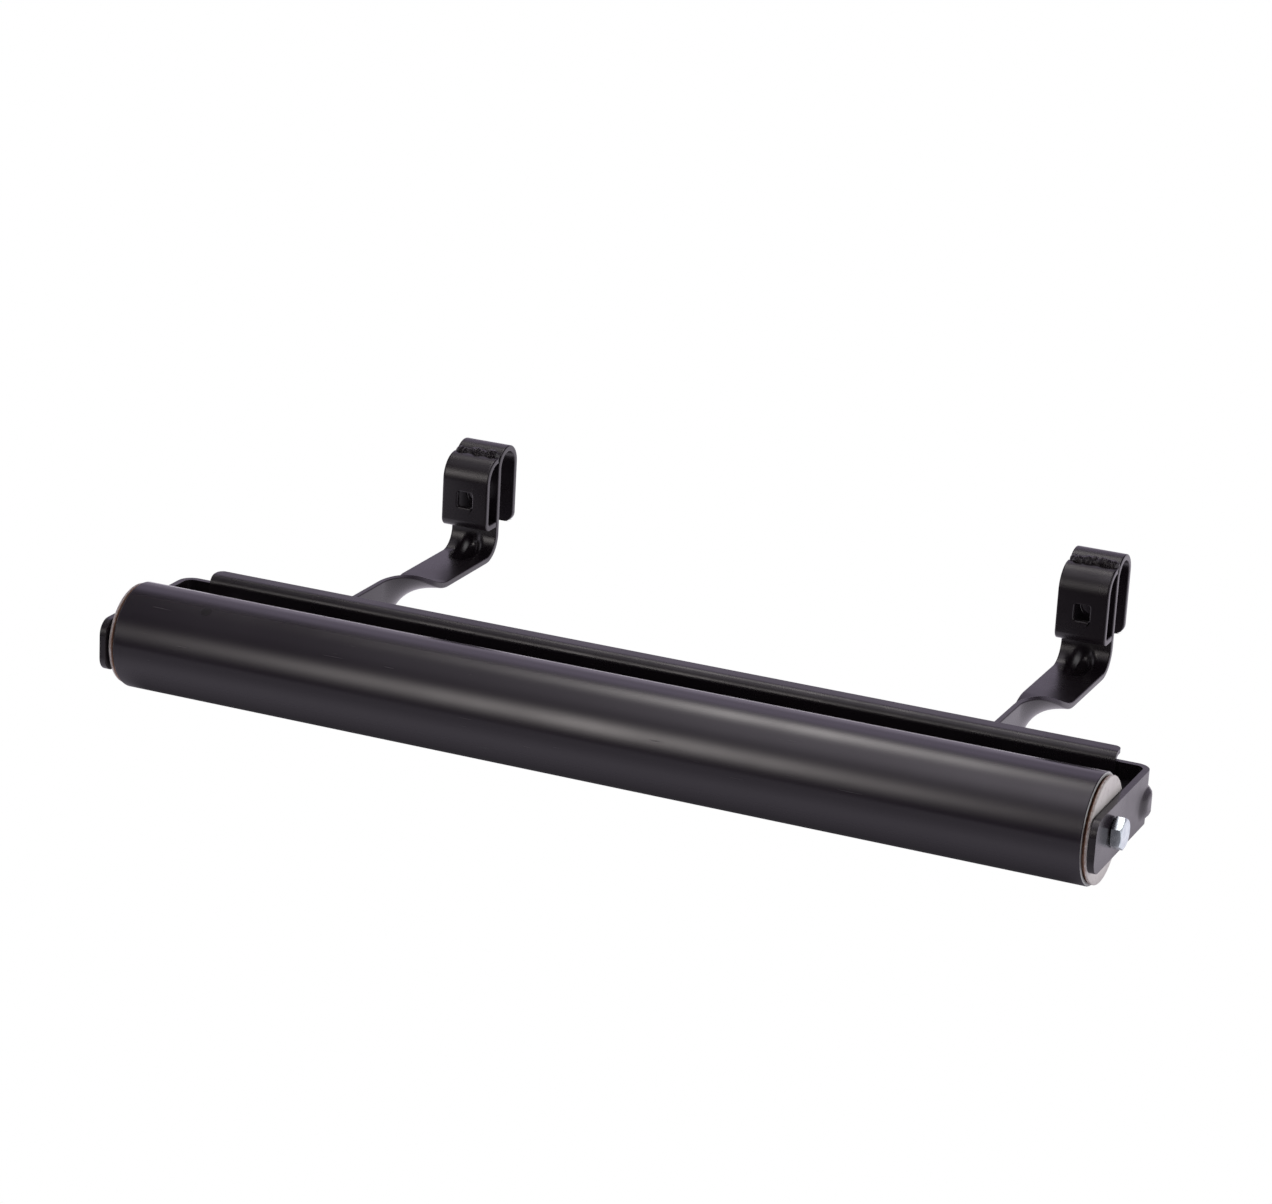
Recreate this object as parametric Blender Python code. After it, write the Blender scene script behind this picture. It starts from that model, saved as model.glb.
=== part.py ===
"""Hook-on load roller: a bearing-mounted roller in a flat-bar bracket with two twisted hook arms.

The roller turns on a fixed axle bolted between the bracket's ears.  Each arm is welded to the
bracket's back, twists a quarter turn and rises into a hook that drops over a crossbar.  A folded
clamp plate with a square bolt hole is welded in front of each hook.

Axes: X along the roller, Y from the roller towards the hooks, Z up, in metres.  The sizes below
are measured from the middle of the roller's axis.  The part's own origin is midway between the
hooks, at the top of their slots, where the crossbar bears: one empty carries every piece there.
"""

from math import cos, hypot, pi, sin, sqrt

import bmesh
import bpy
from mathutils import Vector

MM = 0.001
GAP = 0.3 * MM               # clearance between pieces that touch on the real object

# Roller
ROLLER_R = 25.0 * MM         # outside of the sleeve
SLEEVE_WALL = 2.2 * MM
SLEEVE_HALF = 235.4 * MM
SLEEVE_CHAMFER = 0.5 * MM
TUBE_WALL = 1.5 * MM
TUBE_HALF = 236.0 * MM
ROLLER_SEGMENTS = 56

# End caps, which carry the bearings
CAP_FLANGE_R = 23.9 * MM
CAP_FLANGE_X = (236.4 * MM, 238.2 * MM)
CAP_INNER_X = 224.2 * MM
CAP_MOUTH_R = 8.5 * MM
CAP_EDGE_ROUND = 0.6 * MM
CAP_SEGMENTS = 40

# Bearings, one in each cap
BEARING_INNER_X = 225.0 * MM
BEARING_WIDTH = 9.0 * MM
BALL_R = 2.7 * MM
BALL_COUNT = 12
PITCH_R = 11.4 * MM
RACE_OUTER_R = 16.0 * MM
RACE_INNER_R = 6.3 * MM
RACE_LAND = 1.0 * MM         # height of the groove's shoulders beyond the pitch circle
CAGE_HALF = 0.5 * MM         # half the thickness of the ring that spaces the balls
RACE_SEGMENTS = 28

# Dust seal in the mouth of each cap
SEAL_X = (235.2 * MM, 236.4 * MM)
SEAL_INNER_R = 6.3 * MM

# Axle, its clips and its end bolts
AXLE_R = 6.0 * MM
AXLE_HALF = 238.7 * MM
AXLE_BORE_R = 4.3 * MM
AXLE_BORE_DEPTH = 24.0 * MM
AXLE_GROOVE_DEPTH = 0.6 * MM
CLIP_THICKNESS = 1.0 * MM
CLIP_INNER_R = 5.7 * MM
CLIP_OUTER_R = 8.6 * MM
CLIP_MOUTH = 60.0            # degrees left open
BOLT_R = 4.0 * MM
BOLT_LENGTH = 20.0 * MM      # under the head
BOLT_HEAD_FLATS = 13.0 * MM
BOLT_HEAD_HEIGHT = 5.1 * MM
BOLT_CHAMFER = 0.8 * MM
BOLT_SEGMENTS = 24           # a multiple of 12, so that the head's corners are points
BOLT_HOLE_R = 4.4 * MM

# Flat bar used for the bracket and the arms
BAR_WIDTH = 25.0 * MM
BAR_THICK = 3.0 * MM
EAR_CORNER_R = 7.0 * MM      # rounding of the bracket's free ends
PRONG_CORNER_R = 5.0 * MM    # rounding of a hook's free end

# Bracket
EAR_X = 242.0 * MM           # outer face of an ear
EAR_FRONT_Y = -25.5 * MM
BACK_Y = 54.0 * MM           # rear face of the back
BRACKET_BEND_R = 7.0 * MM    # outside of the bend
GUSSET_Z = -2.5 * MM
GUSSET_HEIGHT = 15.0 * MM
GUSSET_REACH = 16.0 * MM     # along the bar, each way from the middle of the bend
GUSSET_DEPTH = 2.2 * MM

# Folded rail along the bracket's back
RAIL_HALF = 226.0 * MM
RAIL_TOP_Z = 17.0 * MM
RAIL_BOTTOM_Z = -9.0 * MM
RAIL_THICK = 2.2 * MM
RAIL_REAR_Y = 58.5 * MM
RAIL_BEND_R = 4.5 * MM       # outside of the fold
RAIL_CORNER_R = 3.5 * MM

HILL_TOP = 0.55              # how far a pressed hill's flat top reaches towards its outline

# Hook arms
ARM_X = 162.3 * MM
ARM_Z = -2.0 * MM
TWIST_START_Y = 103.0 * MM
TWIST_END_Y = 152.0 * MM
STRAP_FRONT_Y = 204.8 * MM   # front face of the upright strap
ARM_BEND_R = 13.0 * MM       # outside of the bend at the arm's foot
HOOK_SLOT = 15.3 * MM
HOOK_TOP_Z = 53.4 * MM
PRONG_BOTTOM_Z = 10.9 * MM
DIMPLE_WIDTH = 13.6 * MM
DIMPLE_REACH = 14.4 * MM     # along the bar, each way from the dimple's middle
DIMPLE_SHIFT = 5.3 * MM      # from the middle of the bend towards the bracket
DIMPLE_DEPTH = 3.0 * MM
CLAMP_HOLE_Z = 28.5 * MM
CLAMP_HOLE_R = 4.5 * MM

# Clamp plates
PLATE_FRONT_Y = 192.4 * MM
PLATE_TOP_Z = 49.8 * MM
PLATE_TOP_R = 12.0 * MM      # outside of the upper bend
PLATE_BOTTOM_Z = 13.2 * MM
PLATE_BOTTOM_R = 4.6 * MM    # outside of the lower bend
SQUARE_HOLE = 8.2 * MM
SQUARE_HOLE_R = 1.2 * MM

# Weld beads
ARM_WELD_LEG = 3.2 * MM
PLATE_WELD_LEG = 3.0 * MM
PLATE_WELD_HALF = 11.5 * MM  # half the length of the bead above a clamp plate

# Worked out from the sizes above
STRAP_Y = STRAP_FRONT_Y + BAR_THICK / 2            # middle of the upright strap
HOOK_R = (HOOK_SLOT + BAR_THICK) / 2               # middle of the hook's bend
HOOK_Y = STRAP_Y + HOOK_R
HOOK_Z = HOOK_TOP_Z - BAR_THICK / 2 - HOOK_R
AXIS_IN_PART = (0, -HOOK_Y, BAR_THICK - HOOK_TOP_Z)  # the roller's axis, seen from the part's origin

SIDES = (("left", -1), ("right", 1))

FINISHES = {
    "black_paint": ((0.012, 0.012, 0.014), 0.38, 0.0),
    "black_sleeve": ((0.014, 0.014, 0.016), 0.32, 0.0),
    "bare_tube": ((0.23, 0.15, 0.11), 0.45, 1.0),
    "grey_cap": ((0.62, 0.61, 0.59), 0.45, 0.0),
    "zinc": ((0.62, 0.65, 0.69), 0.3, 1.0),
    "bearing_steel": ((0.55, 0.55, 0.56), 0.2, 1.0),
    "seal": ((0.03, 0.03, 0.03), 0.6, 0.0),
}


def clear_scene():
    for item in list(bpy.data.objects):
        bpy.data.objects.remove(item, do_unlink=True)


def add_axis_empty():
    axis = bpy.data.objects.new("roller_axis", None)
    axis.location = AXIS_IN_PART
    bpy.context.scene.collection.objects.link(axis)


def finish_material(name):
    material = bpy.data.materials.get(name)
    if material:
        return material
    colour, roughness, metallic = FINISHES[name]
    material = bpy.data.materials.new(name)
    material.use_nodes = True
    shader = material.node_tree.nodes["Principled BSDF"]
    shader.inputs["Base Color"].default_value = (*colour, 1.0)
    shader.inputs["Roughness"].default_value = roughness
    shader.inputs["Metallic"].default_value = metallic
    material.diffuse_color = (*colour, 1.0)
    return material


def place(item):
    """Link an object and hang it on the part's empty."""
    bpy.context.scene.collection.objects.link(item)
    item.parent = bpy.data.objects["roller_axis"]
    return item


def add_object(name, mesh, finish):
    item = place(bpy.data.objects.new(name, mesh))
    mesh.materials.append(finish_material(finish))
    mesh.shade_smooth()
    mesh.set_sharp_from_angle(angle=0.6)
    return item


def as_cutter(item):
    item.hide_render = True
    item.display_type = "WIRE"
    return item


def add_boolean(item, cutter, operation="DIFFERENCE"):
    modifier = item.modifiers.new("cut_" + cutter.name, "BOOLEAN")
    modifier.solver = "EXACT"
    modifier.operation = operation
    modifier.object = cutter


def finish_bmesh(name, bm):
    bmesh.ops.recalc_face_normals(bm, faces=bm.faces)
    mesh = bpy.data.meshes.new(name)
    bm.to_mesh(mesh)
    bm.free()
    return mesh


def turned_mesh(name, profile, segments, capped=False):
    """Turn a profile of (x, radius) points about the X axis.

    The profile closes on itself, or where capped, a flat disc closes each of its ends.
    """
    bm = bmesh.new()
    rings = []
    for step in range(segments):
        angle = 2 * pi * step / segments
        rings.append([bm.verts.new((x, r * cos(angle), r * sin(angle))) for x, r in profile])
    pairs = list(zip(range(len(profile)), [*range(1, len(profile)), 0]))
    if capped:
        pairs.pop()
        bm.faces.new([ring[0] for ring in rings])
        bm.faces.new([ring[-1] for ring in rings])
    for ring, following in zip(rings, rings[1:] + rings[:1]):
        for a, b in pairs:
            bm.faces.new((ring[a], ring[b], following[b], following[a]))
    return finish_bmesh(name, bm)


def turned(name, profile, finish, segments, capped=False):
    return add_object(name, turned_mesh(name, profile, segments, capped), finish)


def cylinder_cutter(name, radius, start, end, segments=32):
    """A solid cylinder between two points."""
    axis = Vector(end) - Vector(start)
    bm = bmesh.new()
    bmesh.ops.create_cone(bm, cap_ends=True, segments=segments,
                          radius1=radius, radius2=radius, depth=axis.length)
    item = place(bpy.data.objects.new(name, finish_bmesh(name, bm)))
    item.location = (Vector(start) + Vector(end)) / 2
    item.rotation_euler = axis.to_track_quat("Z", "Y").to_euler()
    return as_cutter(item)


def hill(along, across):
    """A pressed hill of height 1 with a flat top, a rounded outline and nothing past 1."""
    distance = (abs(along) ** 3 + abs(across) ** 3) ** (1 / 3)
    wall = min(max((distance - HILL_TOP) / (1 - HILL_TOP), 0.0), 1.0)
    return (1 + cos(pi * wall)) / 2


def ease(value):
    """Smooth step from 0 to 1."""
    return value * value * (3 - 2 * value)


def arc_points(centre, radius, start, end, steps):
    """Points (a, b) on an arc, angles in degrees, both ends included."""
    angles = [(start + (end - start) * n / steps) * pi / 180 for n in range(steps + 1)]
    return [(centre[0] + radius * cos(angle), centre[1] + radius * sin(angle)) for angle in angles]


def end_half_width(distance, half, corner):
    """Half the width of a bar at a distance from its rounded free end."""
    if distance >= corner:
        return half
    return half - corner + sqrt(corner ** 2 - (corner - distance) ** 2)


def corner_steps(corner):
    """Distances from a free end at which a rounded corner is sampled."""
    return [corner * (1 - cos(pi / 2 * n / 4)) for n in range(5)]


def strip_mesh(name, stations, across, thickness):
    """Bend a bar along its stations.

    A station is (middle point, width direction, thickness direction, half width, push), where
    push(u) moves the bar along the thickness direction at u from -1 to 1 across the width.
    """
    bm = bmesh.new()
    layers = []
    for side in (-0.5, 0.5):
        rows = []
        for middle, width, normal, half, push in stations:
            row = []
            for n in range(across + 1):
                u = 2 * n / across - 1
                offset = side * thickness + push(u)
                row.append(bm.verts.new(middle + width * (u * half) + normal * offset))
            rows.append(row)
        layers.append(rows)
    for rows in layers:
        for row, following in zip(rows, rows[1:]):
            for n in range(across):
                bm.faces.new((row[n], row[n + 1], following[n + 1], following[n]))
    inner, outer = layers
    for edge in (0, across):
        for n in range(len(inner) - 1):
            bm.faces.new((inner[n][edge], inner[n + 1][edge], outer[n + 1][edge], outer[n][edge]))
    for end in (0, -1):
        for n in range(across):
            bm.faces.new((inner[end][n], inner[end][n + 1], outer[end][n + 1], outer[end][n]))
    return finish_bmesh(name, bm)


def flat(_u):
    return 0.0


def gusset(distance):
    """The pressed gusset's push across the bracket, at a distance from the middle of the bend."""
    def push(u):
        height = (u * BAR_WIDTH / 2 - GUSSET_Z) / (GUSSET_HEIGHT / 2)
        return GUSSET_DEPTH * hill(distance / GUSSET_REACH, height)
    return push


def bracket_half():
    """The bracket's middle surface from the right ear's tip to the middle of the back."""
    half = BAR_WIDTH / 2
    middle_x = EAR_X - BAR_THICK / 2
    middle_y = BACK_Y - BAR_THICK / 2
    bend = BRACKET_BEND_R - BAR_THICK / 2
    half_arc = bend * pi / 4
    up = Vector((0, 0, 1))
    stations = []
    for distance in corner_steps(EAR_CORNER_R):
        point = Vector((middle_x, EAR_FRONT_Y + distance, 0))
        width = end_half_width(distance, half, EAR_CORNER_R)
        stations.append((point, up, Vector((1, 0, 0)), width, flat))
    legs = [(GUSSET_REACH - half_arc) * n / 5 for n in range(5, 0, -1)]
    for leg in legs:
        point = Vector((middle_x, middle_y - bend - leg, 0))
        stations.append((point, up, Vector((1, 0, 0)), half, gusset(half_arc + leg)))
    steps = 10
    for n, (x, y) in enumerate(arc_points((middle_x - bend, middle_y - bend), bend, 0, 90, steps)):
        angle = pi / 2 * n / steps
        normal = Vector((cos(angle), sin(angle), 0))
        stations.append((Vector((x, y, 0)), up, normal, half, gusset(half_arc * abs(2 * n / steps - 1))))
    for leg in reversed(legs):
        point = Vector((middle_x - bend - leg, middle_y, 0))
        stations.append((point, up, Vector((0, 1, 0)), half, gusset(half_arc + leg)))
    return stations


def build_bracket():
    right = bracket_half()
    left = []
    for point, width, normal, half, push in reversed(right):
        left.append((point * Vector((-1, 1, 1)), width, normal * Vector((-1, 1, 1)), half, push))
    bracket = add_object("u_bracket", strip_mesh("u_bracket", right + left, 12, BAR_THICK), "black_paint")
    for side, sign in SIDES:
        start = (sign * (EAR_X - 2 * BAR_THICK), 0, 0)
        end = (sign * (EAR_X + BAR_THICK), 0, 0)
        add_boolean(bracket, cylinder_cutter("ear_hole_" + side, BOLT_HOLE_R, start, end))


def build_rail():
    """The rail's web stands against the inside of the bracket's back, its flange over the top."""
    web_y = BACK_Y - BAR_THICK - GAP - RAIL_THICK / 2
    top_z = RAIL_TOP_Z - RAIL_THICK / 2
    bend = RAIL_BEND_R - RAIL_THICK / 2
    centre = (web_y + bend, top_z - bend)
    along = Vector((1, 0, 0))
    stations = [(Vector((0, web_y, RAIL_BOTTOM_Z)), along, Vector((0, -1, 0)), RAIL_HALF, flat)]
    for y, z in arc_points(centre, bend, 180, 90, 8):
        normal = Vector((0, y - centre[0], z - centre[1])).normalized()
        stations.append((Vector((0, y, z)), along, normal, RAIL_HALF, flat))
    for distance in reversed(corner_steps(RAIL_CORNER_R)):
        point = Vector((0, RAIL_REAR_Y - distance, top_z))
        half = end_half_width(distance, RAIL_HALF, RAIL_CORNER_R)
        stations.append((point, along, Vector((0, 0, 1)), half, flat))
    add_object("stiffener_rail", strip_mesh("stiffener_rail", stations, 2, RAIL_THICK), "black_paint")


def dimple(distance):
    """The pressed dimple's push across an arm, at a distance past the middle of the bend."""
    def push(u):
        along = (distance + DIMPLE_SHIFT) / DIMPLE_REACH
        return -DIMPLE_DEPTH * hill(along, u * BAR_WIDTH / DIMPLE_WIDTH)
    return push


def arm_stations(x):
    """The arm's middle surface, from the bracket's back to the prong's tip."""
    half = BAR_WIDTH / 2
    across = Vector((1, 0, 0))
    bend = ARM_BEND_R - BAR_THICK / 2
    half_arc = bend * pi / 4
    centre = (STRAP_Y - bend, ARM_Z + bend)
    lead = DIMPLE_REACH + DIMPLE_SHIFT - half_arc
    stations = [(Vector((x, BACK_Y + GAP, ARM_Z)), Vector((0, 0, 1)), Vector((-1, 0, 0)), half, flat)]
    steps = 12
    for n in range(steps + 1):
        y = TWIST_START_Y + (TWIST_END_Y - TWIST_START_Y) * n / steps
        angle = pi / 2 * ease(n / steps)
        width = Vector((sin(angle), 0, cos(angle)))
        normal = Vector((-cos(angle), 0, sin(angle)))
        stations.append((Vector((x, y, ARM_Z)), width, normal, half, flat))
    for n in range(5):
        before = lead * (1 - n / 5)
        point = Vector((x, centre[0] - before, ARM_Z))
        stations.append((point, across, Vector((0, 0, 1)), half, dimple(-half_arc - before)))
    steps = 12
    for n, (y, z) in enumerate(arc_points(centre, bend, -90, 0, steps)):
        normal = Vector((0, centre[0] - y, centre[1] - z)).normalized()
        stations.append((Vector((x, y, z)), across, normal, half, dimple(half_arc * (2 * n / steps - 1))))
    for y, z in arc_points((HOOK_Y, HOOK_Z), HOOK_R, 180, 0, 12):
        normal = Vector((0, y - HOOK_Y, z - HOOK_Z)).normalized()
        stations.append((Vector((x, y, z)), across, normal, half, flat))
    for distance in reversed(corner_steps(PRONG_CORNER_R)):
        point = Vector((x, HOOK_Y + HOOK_R, PRONG_BOTTOM_Z + distance))
        width = end_half_width(distance, half, PRONG_CORNER_R)
        stations.append((point, across, Vector((0, 1, 0)), width, flat))
    return stations


def build_arm(side, sign):
    name = "arm_" + side
    x = sign * ARM_X
    arm = add_object(name, strip_mesh(name, arm_stations(x), 10, BAR_THICK), "black_paint")
    start = (x, STRAP_FRONT_Y - BAR_THICK, CLAMP_HOLE_Z)
    end = (x, STRAP_FRONT_Y + 2 * BAR_THICK, CLAMP_HOLE_Z)
    add_boolean(arm, cylinder_cutter(name + "_hole", CLAMP_HOLE_R, start, end))


def plate_stations(x):
    """The clamp plate's middle surface, from its top edge to its bottom edge."""
    half = BAR_WIDTH / 2
    across = Vector((1, 0, 0))
    inset = BAR_THICK / 2
    front = PLATE_FRONT_Y + inset
    rear = STRAP_FRONT_Y - GAP
    top_r = PLATE_TOP_R - inset
    low_r = PLATE_BOTTOM_R - inset
    top = (front + top_r, PLATE_TOP_Z - PLATE_TOP_R)
    low = (front + low_r, PLATE_BOTTOM_Z + PLATE_BOTTOM_R)
    stations = [(Vector((x, rear, PLATE_TOP_Z - inset)), across, Vector((0, 0, 1)), half, flat)]
    for centre, radius, start, end, steps in ((top, top_r, 90, 180, 10), (low, low_r, 180, 270, 6)):
        for y, z in arc_points(centre, radius, start, end, steps):
            normal = Vector((0, y - centre[0], z - centre[1])).normalized()
            stations.append((Vector((x, y, z)), across, normal, half, flat))
    stations.append((Vector((x, rear, PLATE_BOTTOM_Z + inset)), across, Vector((0, 0, -1)), half, flat))
    return stations


def square_cutter(name, x):
    """A square bar with rounded corners along Y."""
    bm = bmesh.new()
    outline = []
    reach = SQUARE_HOLE / 2 - SQUARE_HOLE_R
    for quarter, (right, up) in enumerate(((1, 1), (-1, 1), (-1, -1), (1, -1))):
        turn = 90 * quarter
        outline += arc_points((right * reach, up * reach), SQUARE_HOLE_R, turn, turn + 90, 3)
    front = PLATE_FRONT_Y - BAR_THICK
    face = bm.faces.new([bm.verts.new((x + a, front, CLAMP_HOLE_Z + b)) for a, b in outline])
    extruded = bmesh.ops.extrude_face_region(bm, geom=[face])
    moved = [part for part in extruded["geom"] if isinstance(part, bmesh.types.BMVert)]
    bmesh.ops.translate(bm, verts=moved, vec=(0, 3 * BAR_THICK, 0))
    return as_cutter(place(bpy.data.objects.new(name, finish_bmesh(name, bm))))


def build_clamp_plate(side, sign):
    name = "clamp_plate_" + side
    x = sign * ARM_X
    plate = add_object(name, strip_mesh(name, plate_stations(x), 2, BAR_THICK), "black_paint")
    add_boolean(plate, square_cutter(name + "_hole", x))


def fillet_section(first, second, sides=6):
    """A fillet's section: its root, then a bulging curve from the first leg to the second."""
    section = [Vector((0, 0, 0))]
    for n in range(sides + 1):
        angle = pi / 2 * n / sides
        section.append((first * cos(angle) + second * sin(angle)) * (1 - 0.22 * sin(2 * angle)))
    return section


def add_bead(name, start, end, section, spacing=2.2 * MM):
    """A rippled weld bead that tapers towards both ends."""
    bm = bmesh.new()
    count = max(4, round((end - start).length / spacing))
    rings = []
    for n in range(count + 1):
        position = n / count
        taper = 0.6 + 0.34 * min(1.0, 5 * min(position, 1 - position))
        size = taper + 0.06 * (n % 2)
        rings.append([bm.verts.new(start.lerp(end, position) + point * size) for point in section])
    for ring, following in zip(rings, rings[1:]):
        for a, b in zip(range(len(ring)), [*range(1, len(ring)), 0]):
            bm.faces.new((ring[a], ring[b], following[b], following[a]))
    bm.faces.new(rings[0])
    bm.faces.new(rings[-1])
    add_object(name, finish_bmesh(name, bm), "black_paint")


def build_arm_welds(side, sign):
    """A fillet up each face of the arm, where it meets the bracket's back."""
    reach = BAR_WIDTH / 2 - 1.5 * MM
    for place_name, face in (("inner", -sign), ("outer", sign)):
        root_x = sign * ARM_X + face * (BAR_THICK / 2 + GAP)
        section = fillet_section(Vector((face * ARM_WELD_LEG, 0, 0)), Vector((0, ARM_WELD_LEG, 0)))
        start = Vector((root_x, BACK_Y + GAP, ARM_Z - reach))
        end = Vector((root_x, BACK_Y + GAP, ARM_Z + reach))
        add_bead("arm_weld_" + side + "_" + place_name, start, end, section)


def hook_front(z):
    """The y of the hook's outer face at a height."""
    radius = HOOK_R + BAR_THICK / 2 + GAP
    return HOOK_Y - sqrt(radius ** 2 - (z - HOOK_Z) ** 2)


def valley_section():
    """The bead between a clamp plate's top edge and the hook, seen from the plate's upper corner."""
    corner_z = PLATE_TOP_Z + GAP
    low_z = PLATE_TOP_Z - 0.8 * BAR_THICK
    toe_z = corner_z + 0.6 * PLATE_WELD_LEG
    points = [(STRAP_FRONT_Y, low_z), (hook_front(low_z), low_z), (hook_front(corner_z), corner_z)]
    points.append((hook_front(toe_z), toe_z))
    toe = points[-1]
    heel = (STRAP_FRONT_Y - PLATE_WELD_LEG, corner_z)
    middle = (toe[0] + heel[0]) / 2
    radius = hypot(toe[0] - middle, toe[1] - corner_z)
    for step in (0.25, 0.5, 0.75):
        y = toe[0] + (heel[0] - toe[0]) * step
        z = toe[1] + (heel[1] - toe[1]) * step + 0.3 * radius * sin(pi * step)
        points.append((y, z))
    points.append(heel)
    points.append((STRAP_FRONT_Y, corner_z))
    return [Vector((0, y - STRAP_FRONT_Y, z - corner_z)) for y, z in points]


def build_plate_weld(side, sign):
    """The bead in the valley above a clamp plate."""
    x = sign * ARM_X
    z = PLATE_TOP_Z + GAP
    start = Vector((x - PLATE_WELD_HALF, STRAP_FRONT_Y, z))
    end = Vector((x + PLATE_WELD_HALF, STRAP_FRONT_Y, z))
    add_bead("plate_weld_" + side, start, end, valley_section())


def build_roller_shell():
    inner = ROLLER_R - SLEEVE_WALL
    sleeve = []
    for sign in (-1, 1):
        end = [(SLEEVE_HALF, inner), (SLEEVE_HALF, ROLLER_R - SLEEVE_CHAMFER)]
        end.append((SLEEVE_HALF - SLEEVE_CHAMFER, ROLLER_R))
        sleeve += [(sign * x, r) for x, r in (end if sign < 0 else reversed(end))]
    turned("roller_sleeve", sleeve, "black_sleeve", ROLLER_SEGMENTS)
    outer = inner - GAP
    bore = outer - TUBE_WALL
    tube = [(-TUBE_HALF, bore), (-TUBE_HALF, outer), (TUBE_HALF, outer), (TUBE_HALF, bore)]
    turned("roller_tube", tube, "bare_tube", ROLLER_SEGMENTS)


def build_end_cap(side, sign):
    """The cap plugs the tube, holds the outer race and closes over it with a flange."""
    plug_r = ROLLER_R - SLEEVE_WALL - GAP - TUBE_WALL - GAP
    seat_r = RACE_OUTER_R + GAP
    seat_x = BEARING_INNER_X + BEARING_WIDTH + GAP
    flange_in, flange_out = CAP_FLANGE_X
    profile = [(CAP_INNER_X, seat_r), (seat_x, seat_r), (seat_x, CAP_MOUTH_R), (flange_out, CAP_MOUTH_R)]
    rounding = (flange_out - CAP_EDGE_ROUND, CAP_FLANGE_R - CAP_EDGE_ROUND)
    profile += arc_points(rounding, CAP_EDGE_ROUND, 0, 90, 3)
    profile += [(flange_in, CAP_FLANGE_R), (flange_in, plug_r), (CAP_INNER_X, plug_r)]
    turned("end_cap_" + side, [(sign * x, r) for x, r in profile], "grey_cap", CAP_SEGMENTS)


def race_profile(back_r, land_r, middle_x):
    """A race's section: its back, its two lands and the ball groove between them."""
    groove_r = BALL_R + GAP
    half = BEARING_WIDTH / 2
    outward = 1 if back_r > PITCH_R else -1
    land = outward * RACE_LAND
    reach = sqrt(groove_r ** 2 - RACE_LAND ** 2)
    profile = [(middle_x - half, back_r), (middle_x - half, land_r)]
    for n in range(7):
        x = -reach + 2 * reach * n / 6
        depth = max(sqrt(groove_r ** 2 - x ** 2), abs(land))
        profile.append((middle_x + x, PITCH_R + outward * depth))
    profile += [(middle_x + half, land_r), (middle_x + half, back_r)]
    return profile


def build_bearing(side, sign):
    middle_x = sign * (BEARING_INNER_X + BEARING_WIDTH / 2)
    outer = race_profile(RACE_OUTER_R, PITCH_R + RACE_LAND, middle_x)
    turned("outer_race_" + side, outer, "bearing_steel", RACE_SEGMENTS)
    inner = race_profile(RACE_INNER_R, PITCH_R - RACE_LAND, middle_x)
    turned("inner_race_" + side, inner, "bearing_steel", RACE_SEGMENTS)


def build_ball_row(side, sign):
    """The balls, joined into one piece by the thin ring that spaces them."""
    middle_x = sign * (BEARING_INNER_X + BEARING_WIDTH / 2)
    start, end = middle_x - CAGE_HALF, middle_x + CAGE_HALF
    low, high = PITCH_R - CAGE_HALF, PITCH_R + CAGE_HALF
    section = [(start, low), (start, high), (end, high), (end, low)]
    cage = turned("ball_row_" + side, section, "bearing_steel", RACE_SEGMENTS)
    for n in range(BALL_COUNT):
        angle = 2 * pi * (n + 0.5) / BALL_COUNT
        bm = bmesh.new()
        bmesh.ops.create_uvsphere(bm, u_segments=8, v_segments=6, radius=BALL_R)
        bmesh.ops.translate(bm, verts=bm.verts, vec=(middle_x, PITCH_R * cos(angle), PITCH_R * sin(angle)))
        ball = place(bpy.data.objects.new("ball", finish_bmesh("ball", bm)))
        add_boolean(cage, as_cutter(ball), "UNION")


def build_dust_seal(side, sign):
    inner_x, outer_x = SEAL_X
    outer_r = CAP_MOUTH_R - GAP
    profile = [(inner_x, SEAL_INNER_R), (inner_x, outer_r), (outer_x, outer_r), (outer_x, SEAL_INNER_R)]
    turned("dust_seal_" + side, [(sign * x, r) for x, r in profile], "seal", RACE_SEGMENTS)


def clip_span():
    """The clip's inner and outer x, just inboard of the inner race."""
    outer_x = BEARING_INNER_X - GAP
    return outer_x - CLIP_THICKNESS, outer_x


def build_axle():
    """A plain rod with a clip groove and a threaded bore, drawn plain, at each end."""
    groove_in, groove_out = clip_span()
    groove_r = AXLE_R - AXLE_GROOVE_DEPTH
    half = [(AXLE_HALF - AXLE_BORE_DEPTH, AXLE_BORE_R), (AXLE_HALF, AXLE_BORE_R), (AXLE_HALF, AXLE_R)]
    half += [(groove_out + GAP, AXLE_R), (groove_out + GAP, groove_r)]
    half += [(groove_in - GAP, groove_r), (groove_in - GAP, AXLE_R)]
    turned("axle", half + [(-x, r) for x, r in reversed(half)], "zinc", 32, capped=True)


def build_axle_clip(side, sign):
    """An open ring seated in the axle's groove."""
    bm = bmesh.new()
    start = CLIP_MOUTH / 2 - 90
    steps = 20
    outer = arc_points((0, 0), CLIP_OUTER_R, start, start + 360 - CLIP_MOUTH, steps)
    inner = arc_points((0, 0), CLIP_INNER_R, start, start + 360 - CLIP_MOUTH, steps)
    layers = []
    for x in clip_span():
        layers.append([[bm.verts.new((sign * x, y, z)) for y, z in points] for points in (inner, outer)])
    (near_in, near_out), (far_in, far_out) = layers
    for n in range(steps):
        bm.faces.new((near_in[n], near_in[n + 1], near_out[n + 1], near_out[n]))
        bm.faces.new((far_in[n], far_in[n + 1], far_out[n + 1], far_out[n]))
        bm.faces.new((near_in[n], near_in[n + 1], far_in[n + 1], far_in[n]))
        bm.faces.new((near_out[n], near_out[n + 1], far_out[n + 1], far_out[n]))
    for n in (0, -1):
        bm.faces.new((near_in[n], near_out[n], far_out[n], far_in[n]))
    add_object("axle_clip_" + side, finish_bmesh("axle_clip_" + side, bm), "zinc")


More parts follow.
